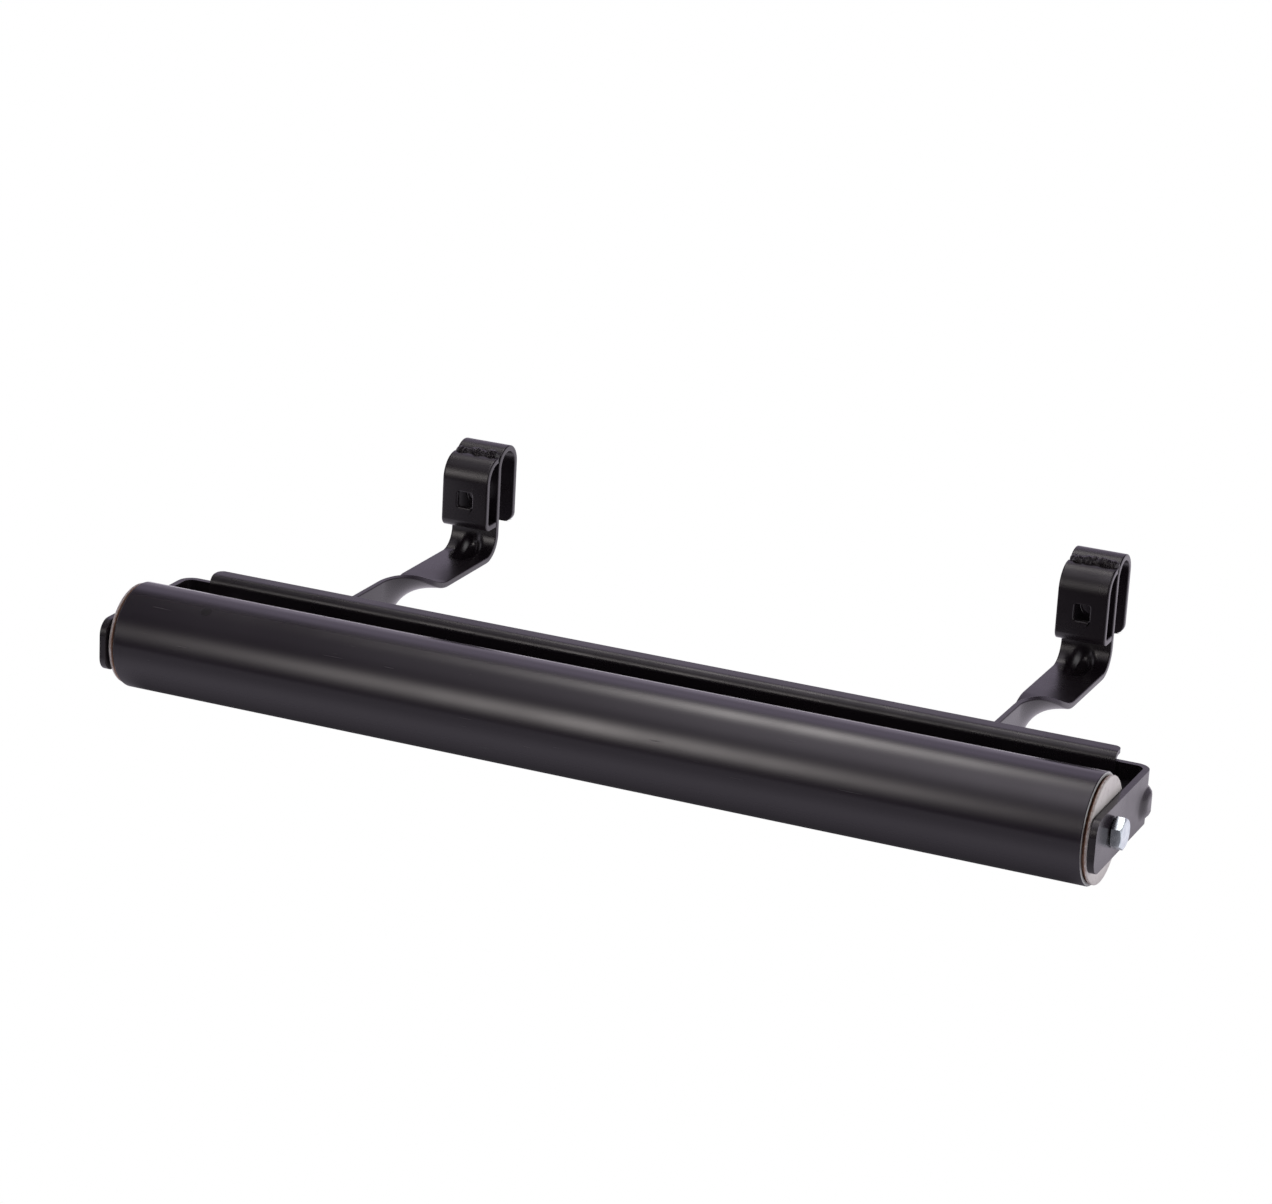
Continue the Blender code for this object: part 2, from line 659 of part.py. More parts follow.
def hexagon_reach(angle, flats):
    """Distance from the middle of a hexagon to its edge; a flat faces angle 0."""
    return flats / 2 / cos((angle + pi / 6) % (pi / 3) - pi / 6)


def build_axle_bolt(side, sign):
    """A hexagon-head bolt: one flat faces forward and a corner points up."""
    head_in = EAR_X + GAP
    head_out = head_in + BOLT_HEAD_HEIGHT
    tip = head_in - BOLT_LENGTH
    angles = [2 * pi * n / BOLT_SEGMENTS for n in range(BOLT_SEGMENTS)]
    hexagon = [hexagon_reach(angle, BOLT_HEAD_FLATS) for angle in angles]
    face = [0.475 * BOLT_HEAD_FLATS] * BOLT_SEGMENTS
    shank = [BOLT_R] * BOLT_SEGMENTS
    point = [BOLT_R - BOLT_CHAMFER] * BOLT_SEGMENTS
    sections = [(head_out, face), (head_out - BOLT_CHAMFER, hexagon), (head_in, hexagon)]
    sections += [(head_in, shank), (tip + BOLT_CHAMFER, shank), (tip, point)]
    bm = bmesh.new()
    rings = []
    for x, reaches in sections:
        ring = []
        for angle, reach in zip(angles, reaches):
            ring.append(bm.verts.new((sign * x, reach * cos(angle), reach * sin(angle))))
        rings.append(ring)
    for ring, following in zip(rings, rings[1:]):
        for a, b in zip(range(BOLT_SEGMENTS), [*range(1, BOLT_SEGMENTS), 0]):
            bm.faces.new((ring[a], ring[b], following[b], following[a]))
    bm.faces.new(rings[0])
    bm.faces.new(rings[-1])
    add_object("axle_bolt_" + side, finish_bmesh("axle_bolt_" + side, bm), "zinc")


def main():
    clear_scene()
    add_axis_empty()
    build_bracket()
    build_rail()
    build_roller_shell()
    build_axle()
    for side, sign in SIDES:
        build_arm(side, sign)
        build_clamp_plate(side, sign)
        build_arm_welds(side, sign)
        build_plate_weld(side, sign)
        build_end_cap(side, sign)
        build_bearing(side, sign)
        build_ball_row(side, sign)
        build_dust_seal(side, sign)
        build_axle_clip(side, sign)
        build_axle_bolt(side, sign)


main()
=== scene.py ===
import math
import random

import bmesh
import bpy
from mathutils import Matrix, Vector


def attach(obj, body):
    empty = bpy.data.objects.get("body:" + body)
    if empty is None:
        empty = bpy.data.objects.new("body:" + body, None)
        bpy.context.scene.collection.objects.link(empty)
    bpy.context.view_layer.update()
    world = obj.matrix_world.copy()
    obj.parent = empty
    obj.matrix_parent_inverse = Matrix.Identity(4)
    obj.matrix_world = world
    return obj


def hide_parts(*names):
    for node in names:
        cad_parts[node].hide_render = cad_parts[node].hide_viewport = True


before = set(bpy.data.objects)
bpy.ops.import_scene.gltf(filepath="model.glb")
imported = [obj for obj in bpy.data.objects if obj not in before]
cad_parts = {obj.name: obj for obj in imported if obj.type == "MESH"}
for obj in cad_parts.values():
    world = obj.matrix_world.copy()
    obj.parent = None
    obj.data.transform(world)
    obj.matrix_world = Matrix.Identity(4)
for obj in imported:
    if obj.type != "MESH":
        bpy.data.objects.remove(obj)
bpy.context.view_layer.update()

mm = 0.001
near = 0.1 * mm                                # slack when rows and faces are picked by their place
sides = (("left", -1), ("right", 1))


def startPiece(name):
    # call straight after a primitive is added: its size and place go into its mesh
    piece = bpy.context.object
    piece.name = name
    piece.data.name = name
    bpy.ops.object.transform_apply(location=True, rotation=True, scale=True)
    return piece


def onlyThis(piece):
    bpy.ops.object.select_all(action="DESELECT")
    bpy.context.view_layer.objects.active = piece
    piece.select_set(True)


def editMesh(piece):
    onlyThis(piece)
    bpy.ops.object.mode_set(mode="EDIT")
    bpy.ops.mesh.select_mode(type="VERT")
    bpy.ops.mesh.select_all(action="DESELECT")


def leaveEdit():
    bpy.ops.object.mode_set(mode="OBJECT")


def pickVerts(piece, test):
    mesh = bmesh.from_edit_mesh(piece.data)
    for vert in mesh.verts:
        vert.select = bool(test(vert.co))
    mesh.select_flush_mode()
    mesh.select_flush(True)
    bmesh.update_edit_mesh(piece.data)


def pickFaces(piece, test):
    bpy.ops.mesh.select_mode(type="FACE")
    mesh = bmesh.from_edit_mesh(piece.data)
    for face in mesh.faces:
        face.select = bool(test(face.calc_center_median(), face.normal))
    mesh.select_flush_mode()
    bmesh.update_edit_mesh(piece.data)


def rowCentre(piece):
    mesh = bmesh.from_edit_mesh(piece.data)
    row = [vert.co for vert in mesh.verts if vert.select]
    return sum(row, Vector()) / len(row)


def drawOn(step):
    # carries the selected row on by one step
    bpy.ops.mesh.extrude_edges_move(TRANSFORM_OT_translate={"value": step})


def bendOn(degrees, centre, axis, steps):
    # spin counts its angle the other way round
    bpy.ops.mesh.spin(steps=steps, angle=-math.radians(degrees), center=centre, axis=axis)


def turnRow(piece, degrees, axis):
    # with no window, rotate turns the other way and needs its centre given
    bpy.ops.transform.rotate(value=-math.radians(degrees), orient_axis=axis,
                             center_override=rowCentre(piece))


def narrowRow(piece, share, axis):
    value = [share if axis == letter else 1.0 for letter in "XYZ"]
    bpy.ops.transform.resize(value=value, center_override=rowCentre(piece))


def drawTo(step, times):
    # the same, in several equal steps
    part = tuple(length / times for length in step)
    for number in range(times):
        drawOn(part)


def roundEnd(piece, direction, axis, halfWidth, corner, steps=7):
    # rounds the bar's two corners: short steps forward, each row narrower than the last
    direction = Vector(direction)
    width = halfWidth
    gone = 0.0
    for step in range(1, steps + 1):
        turn = math.pi / 2 * step / steps
        along = corner * math.sin(turn)
        wanted = halfWidth - corner + corner * math.cos(turn)
        drawOn(direction * (along - gone))
        narrowRow(piece, wanted / width, axis)
        gone, width = along, wanted


def bar(name, columns, width, length, place, turn):
    # the first short stretch of a bar, flat and one row long
    bpy.ops.object.select_all(action="DESELECT")
    bpy.ops.mesh.primitive_grid_add(x_subdivisions=columns, y_subdivisions=1, size=1,
                                    location=place, rotation=[math.radians(angle) for angle in turn])
    bpy.context.object.scale = (width, length, 1)
    return startPiece(name)


def modify(piece, kind, **settings):
    onlyThis(piece)
    modifier = piece.modifiers.new(kind.lower(), kind)
    for key, value in settings.items():
        setattr(modifier, key, value)
    bpy.ops.object.modifier_apply(modifier=modifier.name)


def closeMesh(piece):
    editMesh(piece)
    bpy.ops.mesh.select_all(action="SELECT")
    bpy.ops.mesh.remove_doubles(threshold=0.00001)
    bpy.ops.mesh.normals_make_consistent(inside=False)
    leaveEdit()


def thicken(piece, thickness, offset=0.0):
    modify(piece, "SOLIDIFY", thickness=thickness, offset=offset,
           use_even_offset=True, use_quality_normals=True)


def softenEdges(piece, width, segments=3, angle=50.0, smooth=40.0, clamp=True):
    # without clamp, the short edges round a hole don't hold the width back everywhere
    modify(piece, "BEVEL", width=width, segments=segments, limit_method="ANGLE",
           angle_limit=math.radians(angle), use_clamp_overlap=clamp, miter_outer="MITER_ARC")
    onlyThis(piece)
    bpy.ops.object.shade_smooth_by_angle(angle=math.radians(smooth))
    modify(piece, "WEIGHTED_NORMAL", keep_sharp=True, weight=80)


def cutWith(piece, cutter, operation="DIFFERENCE"):
    modify(piece, "BOOLEAN", object=cutter, operation=operation, solver="EXACT")
    bpy.data.objects.remove(cutter)


def rod(name, radius, length, place, axis, verts=96, fill="NGON"):
    turns = {"X": (0, 90, 0), "Y": (90, 0, 0)}[axis]
    bpy.ops.object.select_all(action="DESELECT")
    bpy.ops.mesh.primitive_cylinder_add(
        vertices=verts, radius=radius, depth=length, end_fill_type=fill,
        location=place, rotation=[math.radians(angle) for angle in turns])
    return startPiece(name)


def copyOf(piece, name, shift=(0, 0, 0), mirrored=False):
    twin = piece.copy()
    twin.data = piece.data.copy()
    twin.name = name
    twin.data.name = name
    bpy.context.scene.collection.objects.link(twin)
    editMesh(twin)
    bpy.ops.mesh.select_all(action="SELECT")
    if mirrored:
        bpy.ops.transform.resize(value=(-1, 1, 1), center_override=(0, 0, 0))
        bpy.ops.mesh.flip_normals()
    bpy.ops.transform.translate(value=shift)
    leaveEdit()
    return twin


def hill(along, across, top=0.5, power=2.8):
    # a pressed hill of height 1: flat on top, round-cornered, and nothing past 1
    distance = (abs(along) ** power + abs(across) ** power) ** (1 / power)
    wall = min(max((distance - top) / (1 - top), 0.0), 1.0)
    return (1 + math.cos(math.pi * wall)) / 2


def press(piece, push):
    # push gives the way a vertex moves, from its place
    for vert in piece.data.vertices:
        vert.co += push(vert.co)
    piece.data.update()


# the U bracket of flat bar: its right half is drawn along, pressed and mirrored
bracket = {
    "columns": 28,
    "width": 25 * mm,
    "thick": 3 * mm,
    "bendCentre": (235.0 * mm, -168.45 * mm),
    "bendRadius": 5.5 * mm,
    "bendSteps": 14,
    "height": -50.4 * mm,             # middle of the bar
    "tip": -240.95 * mm,
    "tipCorner": 7 * mm,
    "earX": 240 * mm,
    "holeRadius": 4.4 * mm,
    "gussetHeight": -52.9 * mm,
    "gussetTall": 15 * mm,
    "gussetReach": 16 * mm,
    "gussetDepth": 2.2 * mm,
    "pressed": 18 * mm,               # finely divided this far from the bend, and in so many steps
    "pressedSteps": 20,
    "edge": 0.5 * mm,
}


def bracketPlace(point):
    # how far a point is from the middle of the bend along the bar, and which way is out
    centreX, centreY = bracket["bendCentre"]
    halfArc = bracket["bendRadius"] * math.pi / 4
    if point.y < centreY:
        return halfArc + centreY - point.y, Vector((1, 0, 0))
    if point.x < centreX:
        return halfArc + centreX - point.x, Vector((0, 1, 0))
    turn = math.atan2(point.y - centreY, point.x - centreX)
    return halfArc * abs(turn / (math.pi / 4) - 1), Vector((math.cos(turn), math.sin(turn), 0))


def gussetPush(point):
    distance, out = bracketPlace(point)
    height = (point.z - bracket["gussetHeight"]) / (bracket["gussetTall"] / 2)
    return out * bracket["gussetDepth"] * hill(distance / bracket["gussetReach"], height)


def makeBracket():
    centreX, centreY = bracket["bendCentre"]
    radius, height = bracket["bendRadius"], bracket["height"]
    backY = centreY + radius
    first = 20 * mm
    piece = bar("bracketPiece", bracket["columns"], bracket["width"], first,
                (first / 2, backY, height), (0, 0, 0))
    editMesh(piece)
    bpy.ops.mesh.select_all(action="SELECT")
    # the grid lies flat: stand it up with its width on Z and its length on X
    for axis in "XY":
        bpy.ops.transform.rotate(value=-math.radians(90), orient_axis=axis,
                                 center_override=(first / 2, backY, height))
    bpy.ops.mesh.select_all(action="DESELECT")
    pickVerts(piece, lambda co: co.x > first - near)
    pressed, steps = bracket["pressed"], bracket["pressedSteps"]
    straight = centreX - pressed
    drawTo((straight - first, 0, 0), 8)
    drawTo((centreX - straight, 0, 0), steps)
    bendOn(-90, (centreX, centreY, height), (0, 0, 1), bracket["bendSteps"])
    drawTo((0, -pressed, 0), steps)
    rest = centreY - pressed - bracket["tip"] - bracket["tipCorner"]
    drawTo((0, -rest, 0), 6)
    roundEnd(piece, (0, -1, 0), "Z", bracket["width"] / 2, bracket["tipCorner"])
    leaveEdit()
    press(piece, gussetPush)
    modify(piece, "MIRROR", use_axis=(True, False, False), merge_threshold=0.00002)
    closeMesh(piece)
    thicken(piece, bracket["thick"])
    for sign in (-1, 1):
        place = (sign * bracket["earX"], roller["axisY"], height)
        cutWith(piece, rod("hole", bracket["holeRadius"], 14 * mm, place, "X", 48))
    softenEdges(piece, bracket["edge"])
    piece.name = "bracketBar"
    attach(piece, "frame")
    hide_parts("u_bracket")
    return piece


# the sheet that stands behind the roller and folds over the bracket's top edge
rail = {
    "columns": 12,
    "half": 226 * mm,
    "thick": 2.2 * mm,
    "webY": -165.85 * mm,
    "bottom": -59.4 * mm,
    "bendRadius": 3.4 * mm,
    "bendSteps": 12,
    "topZ": -34.5 * mm,
    "rear": -156.95 * mm,
    "corner": 3.5 * mm,
    "edge": 0.35 * mm,
}


def makeRail():
    radius = rail["bendRadius"]
    centre = (0, rail["webY"] + radius, rail["topZ"] - radius)
    first = 2 * mm
    piece = bar("railPiece", rail["columns"], 2 * rail["half"], first,
                (0, rail["webY"], rail["bottom"] + first / 2), (90, 0, 0))
    editMesh(piece)
    pickVerts(piece, lambda co: co.z > rail["bottom"] + first - near)
    drawTo((0, 0, centre[2] - rail["bottom"] - first), 4)
    bendOn(-90, centre, (1, 0, 0), rail["bendSteps"])
    drawOn((0, rail["rear"] - rail["corner"] - centre[1], 0))
    roundEnd(piece, (0, 1, 0), "X", rail["half"], rail["corner"])
    leaveEdit()
    closeMesh(piece)
    thicken(piece, rail["thick"])
    softenEdges(piece, rail["edge"])
    piece.name = "railFold"
    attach(piece, "frame")
    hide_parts("stiffener_rail")
    return piece


# one arm from the bracket to the hook's prong: drawn along as one bar, copied for the left
arm = {
    "columns": 32,
    "width": 25 * mm,
    "thick": 3 * mm,
    "x": 162.3 * mm,
    "start": -161.15 * mm,
    "height": -52.4 * mm,
    "twistStart": -112.45 * mm,
    "twistEnd": -63.45 * mm,
    "twistSteps": 30,
    "bendRadius": 11.5 * mm,
    "bendCentre": (-20.65 * mm, -40.9 * mm),     # Y and Z
    "bendSteps": 26,
    "hookCentre": (0.0, -7.65 * mm),
    "hookSteps": 28,
    "prongEnd": -39.5 * mm,
    "prongCorner": 5 * mm,
    "dimpleWide": 13.6 * mm,
    "dimpleReach": 15.2 * mm,
    "dimpleShift": 6.1 * mm,
    "dimpleDepth": 2.9 * mm,
    "pressed": 15 * mm,               # finely divided this far before the bend, and in so many steps
    "pressedSteps": 20,
    "holeHeight": -21.9 * mm,
    "holeRadius": 4.5 * mm,
    "strapY": -9.15 * mm,             # middle of the upright strap
    "edge": 0.5 * mm,
}


def dimplePush(point):
    centreY, centreZ = arm["bendCentre"]
    halfArc = arm["bendRadius"] * math.pi / 4
    if point.y < centreY:
        distance, inwards = -(halfArc + centreY - point.y), Vector((0, 0, 1))
    elif point.z > centreZ:
        return Vector()
    else:
        turn = math.atan2(point.y - centreY, centreZ - point.z)
        distance = halfArc * (turn / (math.pi / 4) - 1)
        inwards = Vector((0, -math.sin(turn), math.cos(turn)))
    along = (distance + arm["dimpleShift"]) / arm["dimpleReach"]
    across = (point.x - arm["x"]) / (arm["dimpleWide"] / 2)
    # the far end of the hollow runs out gently, the end under the plate is steep
    top = 0.45 if along > 0 else 0.15
    return inwards * (-arm["dimpleDepth"] * hill(along, across, top, 2.4))


def makeArms():
    x, height = arm["x"], arm["height"]
    bendY, bendZ = arm["bendCentre"]
    hookY, hookZ = arm["hookCentre"]
    first = 4 * mm
    piece = bar("armPiece", arm["columns"], arm["width"], first,
                (x, arm["start"] + first / 2, height), (0, -90, 0))
    editMesh(piece)
    pickVerts(piece, lambda co: co.y > arm["start"] + first - near)
    drawTo((0, arm["twistStart"] - arm["start"] - first, 0), 5)
    turns, turned = arm["twistSteps"], 0.0
    for step in range(1, turns + 1):
        share = step / turns
        wanted = 90 * share * share * (3 - 2 * share)
        drawOn((0, (arm["twistEnd"] - arm["twistStart"]) / turns, 0))
        turnRow(piece, wanted - turned, "Y")
        turned = wanted
    pressedFrom = bendY - arm["pressed"]
    drawTo((0, pressedFrom - arm["twistEnd"], 0), 3)
    drawTo((0, bendY - pressedFrom, 0), arm["pressedSteps"])
    bendOn(90, (x, bendY, bendZ), (1, 0, 0), arm["bendSteps"])
    drawTo((0, 0, hookZ - bendZ), 6)
    bendOn(-180, (x, hookY, hookZ), (1, 0, 0), arm["hookSteps"])
    down = hookZ - arm["prongEnd"] - arm["prongCorner"]
    drawTo((0, 0, -down), 4)
    roundEnd(piece, (0, 0, -1), "X", arm["width"] / 2, arm["prongCorner"])
    leaveEdit()
    press(piece, dimplePush)
    closeMesh(piece)
    thicken(piece, arm["thick"])
    cutWith(piece, rod("hole", arm["holeRadius"], 8 * mm, (x, arm["strapY"], arm["holeHeight"]), "Y", 48))
    softenEdges(piece, arm["edge"], clamp=False)
    piece.name = "armRight"
    twin = copyOf(piece, "armLeft", (-2 * x, 0, 0))
    for shape, node in ((piece, "arm_right"), (twin, "arm_left")):
        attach(shape, "frame")
        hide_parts(node)
    return piece, twin


# the folded plate in front of each hook; places are of the middle of its thickness
plate = {
    "columns": 20,
    "width": 25 * mm,
    "thick": 3 * mm,
    "rear": -10.95 * mm,
    "topZ": -2.1 * mm,
    "topCentre": (-11.05 * mm, -12.6 * mm),      # Y and Z
    "topSteps": 18,
    "lowCentre": (-18.45 * mm, -32.6 * mm),
    "lowSteps": 10,
    "squareHole": 8.2 * mm,
    "squareCorner": 1.2 * mm,
    "frontY": -21.5 * mm,
    "holeHeight": -21.9 * mm,
    "edge": 0.6 * mm,
}


def squareCutter(x, height):
    bpy.ops.object.select_all(action="DESELECT")
    size = plate["squareHole"]
    bpy.ops.mesh.primitive_cube_add(size=1, location=(x, plate["frontY"], height))
    bpy.context.object.scale = (size, 12 * mm, size)
    cutter = startPiece("squareCutter")
    editMesh(cutter)
    mesh = bmesh.from_edit_mesh(cutter.data)
    bpy.ops.mesh.select_mode(type="EDGE")
    for edge in mesh.edges:
        edge.select = abs((edge.verts[0].co - edge.verts[1].co).normalized().y) > 0.9
    bmesh.update_edit_mesh(cutter.data)
    bpy.ops.mesh.bevel(offset=plate["squareCorner"], segments=5)
    leaveEdit()
    return cutter


def makePlates():
    x = arm["x"]
    first = 0.1 * mm
    topY, topZ = plate["topCentre"]
    lowY, lowZ = plate["lowCentre"]
    piece = bar("platePiece", plate["columns"], plate["width"], first,
                (x, plate["rear"] - first / 2, plate["topZ"]), (0, 0, 0))
    editMesh(piece)
    pickVerts(piece, lambda co: co.y < plate["rear"] - first / 2)
    bendOn(90, (x, topY, topZ), (1, 0, 0), plate["topSteps"])
    drawTo((0, 0, lowZ - topZ), 6)
    bendOn(90, (x, lowY, lowZ), (1, 0, 0), plate["lowSteps"])
    drawTo((0, plate["rear"] - lowY, 0), 2)
    leaveEdit()
    closeMesh(piece)
    thicken(piece, plate["thick"])
    cutWith(piece, squareCutter(x, plate["holeHeight"]))
    softenEdges(piece, plate["edge"], clamp=False)
    piece.name = "clampPlateRight"
    twin = copyOf(piece, "clampPlateLeft", (-2 * x, 0, 0))
    for shape, node in ((piece, "clamp_plate_right"), (twin, "clamp_plate_left")):
        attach(shape, "frame")
        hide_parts(node)
    return piece, twin


# weld beads: rows of lumps melted into one skin
weld = {
    "voxel": 0.32 * mm,
    "spacing": 1.7 * mm,
    "plateRadius": 3.05 * mm,
    "plateStart": (153.2 * mm, -9.4 * mm, -0.9 * mm),
    "plateEnd": (171.4 * mm, -9.2 * mm, -0.9 * mm),
    "plateRough": 1.1 * mm,
    "armRadius": 2.3 * mm,
    "armReach": 10.5 * mm,
    "armRough": 0.3 * mm,
    "armRoot": (0.7 * mm, 0.9 * mm),  # out from the arm's side, and back from its end
    "wander": 0.25,                   # how far a lump strays, and how its size varies, against its radius
    "size": (0.82, 1.05),
    "spatter": 2.4 * mm,
    "seed": 7,
}


def makeBead(name, start, end, radius, rough, dice):
    start, end = Vector(start), Vector(end)
    count = round((end - start).length / weld["spacing"])
    lumps = []
    for n in range(count + 1):
        wander = Vector([dice.uniform(-weld["wander"], weld["wander"]) * radius for axis in "XYZ"])
        bpy.ops.object.select_all(action="DESELECT")
        bpy.ops.mesh.primitive_ico_sphere_add(
            subdivisions=3, radius=radius * dice.uniform(*weld["size"]),
            location=start.lerp(end, n / count) + wander)
        lumps.append(startPiece("lump"))
    onlyThis(lumps[0])
    for lump in lumps[1:]:
        lump.select_set(True)
    bpy.ops.object.join()
    piece = bpy.context.object
    modify(piece, "REMESH", mode="VOXEL", voxel_size=weld["voxel"])
    modify(piece, "SMOOTH", factor=0.5, iterations=3)
    spatter = bpy.data.textures.new(name + "Spatter", "CLOUDS")
    spatter.noise_scale = weld["spatter"]
    spatter.noise_depth = 2
    modify(piece, "DISPLACE", texture=spatter, strength=rough, mid_level=0.55, texture_coords="GLOBAL")
    onlyThis(piece)
    bpy.ops.object.shade_smooth()
    piece.name = name
    piece.data.name = name
    return piece


def makeWelds():
    dice = random.Random(weld["seed"])
    made = []
    for side, sign in sides:
        shift = Vector(((sign - 1) * arm["x"], 0, 0))
        title = side.capitalize()
        piece = makeBead("plateWeld" + title, Vector(weld["plateStart"]) + shift,
                         Vector(weld["plateEnd"]) + shift, weld["plateRadius"], weld["plateRough"], dice)
        made.append((piece, "plate_weld_" + side))
        for place, face in (("inner", -sign), ("outer", sign)):
            out, back = weld["armRoot"]
            rootX = sign * arm["x"] + face * (arm["thick"] / 2 + out)
            rootY = arm["start"] + back
            piece = makeBead("armWeld" + title + place.capitalize(),
                             (rootX, rootY, arm["height"] - weld["armReach"]),
                             (rootX, rootY, arm["height"] + weld["armReach"]),
                             weld["armRadius"], weld["armRough"], dice)
            made.append((piece, "arm_weld_" + side + "_" + place))
    for piece, node in made:
        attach(piece, "frame")
        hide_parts(node)
    return [piece for piece, node in made]


roller = {
    "axisY": -215.45 * mm,
    "axisZ": -50.4 * mm,
    "sleeveRadius": 25 * mm,
    "sleeveWall": 2.2 * mm,
    "sleeveHalf": 235.4 * mm,
    "sleeveEdge": 0.55 * mm,
    "tubeRadius": 22.5 * mm,
    "tubeWall": 1.5 * mm,
    "tubeHalf": 236.0 * mm,
    "tubeEdge": 0.25 * mm,
    "capRadius": 23.9 * mm,
    "capFlange": (236.4 * mm, 238.2 * mm),
    "capPlug": 20.7 * mm,
    "capInner": 224.2 * mm,
    "capSeat": (234.3 * mm, 16.3 * mm),
    "capMouth": 8.5 * mm,
    "capEdge": 0.5 * mm,
}


def makeShell(name, radius, wall, half, edge):
    piece = rod(name, radius, 2 * half, (0, roller["axisY"], roller["axisZ"]), "X", 160, "NOTHING")
    thicken(piece, wall, -1.0)
    softenEdges(piece, edge, smooth=35.0)
    return piece


def makeCap():
    low, high = roller["capFlange"]
    centre = (0, roller["axisY"], roller["axisZ"])
    piece = rod("capPiece", roller["capRadius"], high - low,
                ((low + high) / 2, centre[1], centre[2]), "X", 120)
    editMesh(piece)
    pickFaces(piece, lambda middle, normal: normal.x < -0.9)
    bpy.ops.mesh.inset(thickness=roller["capRadius"] - roller["capPlug"])
    bpy.ops.mesh.extrude_region_move(TRANSFORM_OT_translate={"value": (roller["capInner"] - low, 0, 0)})
    seatX, seatR = roller["capSeat"]
    bpy.ops.mesh.inset(thickness=roller["capPlug"] - seatR)
    bpy.ops.mesh.extrude_region_move(TRANSFORM_OT_translate={"value": (seatX - roller["capInner"], 0, 0)})
    bpy.ops.mesh.inset(thickness=seatR - roller["capMouth"])
    bpy.ops.mesh.select_all(action="DESELECT")
    pickFaces(piece, lambda middle, normal: normal.x > 0.9 and middle.x > high - near)
    bpy.ops.mesh.inset(thickness=roller["capRadius"] - roller["capMouth"])
    bpy.ops.mesh.select_all(action="DESELECT")
    mesh = bmesh.from_edit_mesh(piece.data)
    for face in mesh.faces:                        # the two discs in the mouth
        face.select = len(face.verts) > 4
    bmesh.update_edit_mesh(piece.data)
    bpy.ops.mesh.bridge_edge_loops()
    leaveEdit()
    closeMesh(piece)
    softenEdges(piece, roller["capEdge"], smooth=35.0)
    return piece


def makeRoller():
    sleeve = makeShell("rollerSleeve", roller["sleeveRadius"], roller["sleeveWall"],
                       roller["sleeveHalf"], roller["sleeveEdge"])
    tube = makeShell("rollerTube", roller["tubeRadius"], roller["tubeWall"],
                     roller["tubeHalf"], roller["tubeEdge"])
    capRight = makeCap()
    capRight.name = "endCapRight"
    capLeft = copyOf(capRight, "endCapLeft", mirrored=True)
    rows = ((sleeve, "roller_sleeve", "black_sleeve"), (tube, "roller_tube", "bare_tube"),
            (capRight, "end_cap_right", "grey_cap"), (capLeft, "end_cap_left", "grey_cap"))
    for piece, node, slot in rows:
        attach(piece, "roller")
        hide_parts(node)
    return sleeve, tube, capRight, capLeft


bolt = {
    "flats": 13 * mm,
    "head": (242.3 * mm, 247.4 * mm),
    "chamferRadius": 6.15 * mm,
    "washerRadius": 6.2 * mm,
    "washerThick": 0.35 * mm,
    "shankRadius": 3.95 * mm,
    "shankEnd": 222.4 * mm,
    "edge": 0.12 * mm,
    "overlap": 2 * mm,                # how far the chamfering disc runs past the head's base,
    "margin": 0.6 * mm,               # and past its corners
}


def makeBolts():
    low, high = bolt["head"]
    corner = bolt["flats"] / 2 / math.cos(math.pi / 6)
    place = (roller["axisY"], roller["axisZ"])
    base = low + bolt["washerThick"]
    piece = rod("boltPiece", corner, high - base, ((base + high) / 2, *place), "X", 6)
    editMesh(piece)
    bpy.ops.mesh.select_all(action="SELECT")       # corners up and down, as fitted
    bpy.ops.transform.rotate(value=math.radians(30), orient_axis="X", center_override=(0, *place))
    leaveEdit()
    # the round end of the head: a disc with a 30 degree slope, kept where it meets the hexagon
    wide = corner + bolt["margin"]
    slope = (wide - bolt["chamferRadius"]) * math.tan(math.pi / 6)
    inner = base - bolt["overlap"]
    disc = rod("disc", wide, high - slope - inner, ((inner + high - slope) / 2, *place), "X", 96)
    editMesh(disc)
    pickFaces(disc, lambda middle, normal: normal.x > 0.9)
    bpy.ops.mesh.extrude_region_move(TRANSFORM_OT_translate={"value": (slope, 0, 0)})
    share = bolt["chamferRadius"] / wide
    bpy.ops.transform.resize(value=(1, share, share), center_override=(high, *place))
    leaveEdit()
    cutWith(piece, disc, "INTERSECT")
    washer = rod("washer", bolt["washerRadius"], 2 * bolt["washerThick"], (base, *place), "X", 64)
    cutWith(piece, washer, "UNION")
    rootX = low + mm                               # the shank starts inside the head
    shank = rod("shank", bolt["shankRadius"], rootX - bolt["shankEnd"],
                ((rootX + bolt["shankEnd"]) / 2, *place), "X", 48)
    cutWith(piece, shank, "UNION")
    closeMesh(piece)
    softenEdges(piece, bolt["edge"], segments=2, angle=20.0, smooth=25.0)
    piece.name = "boltRight"
    twin = copyOf(piece, "boltLeft", mirrored=True)
    for shape, node in ((piece, "axle_bolt_right"), (twin, "axle_bolt_left")):
        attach(shape, "frame")
        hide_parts(node)
    return piece, twin


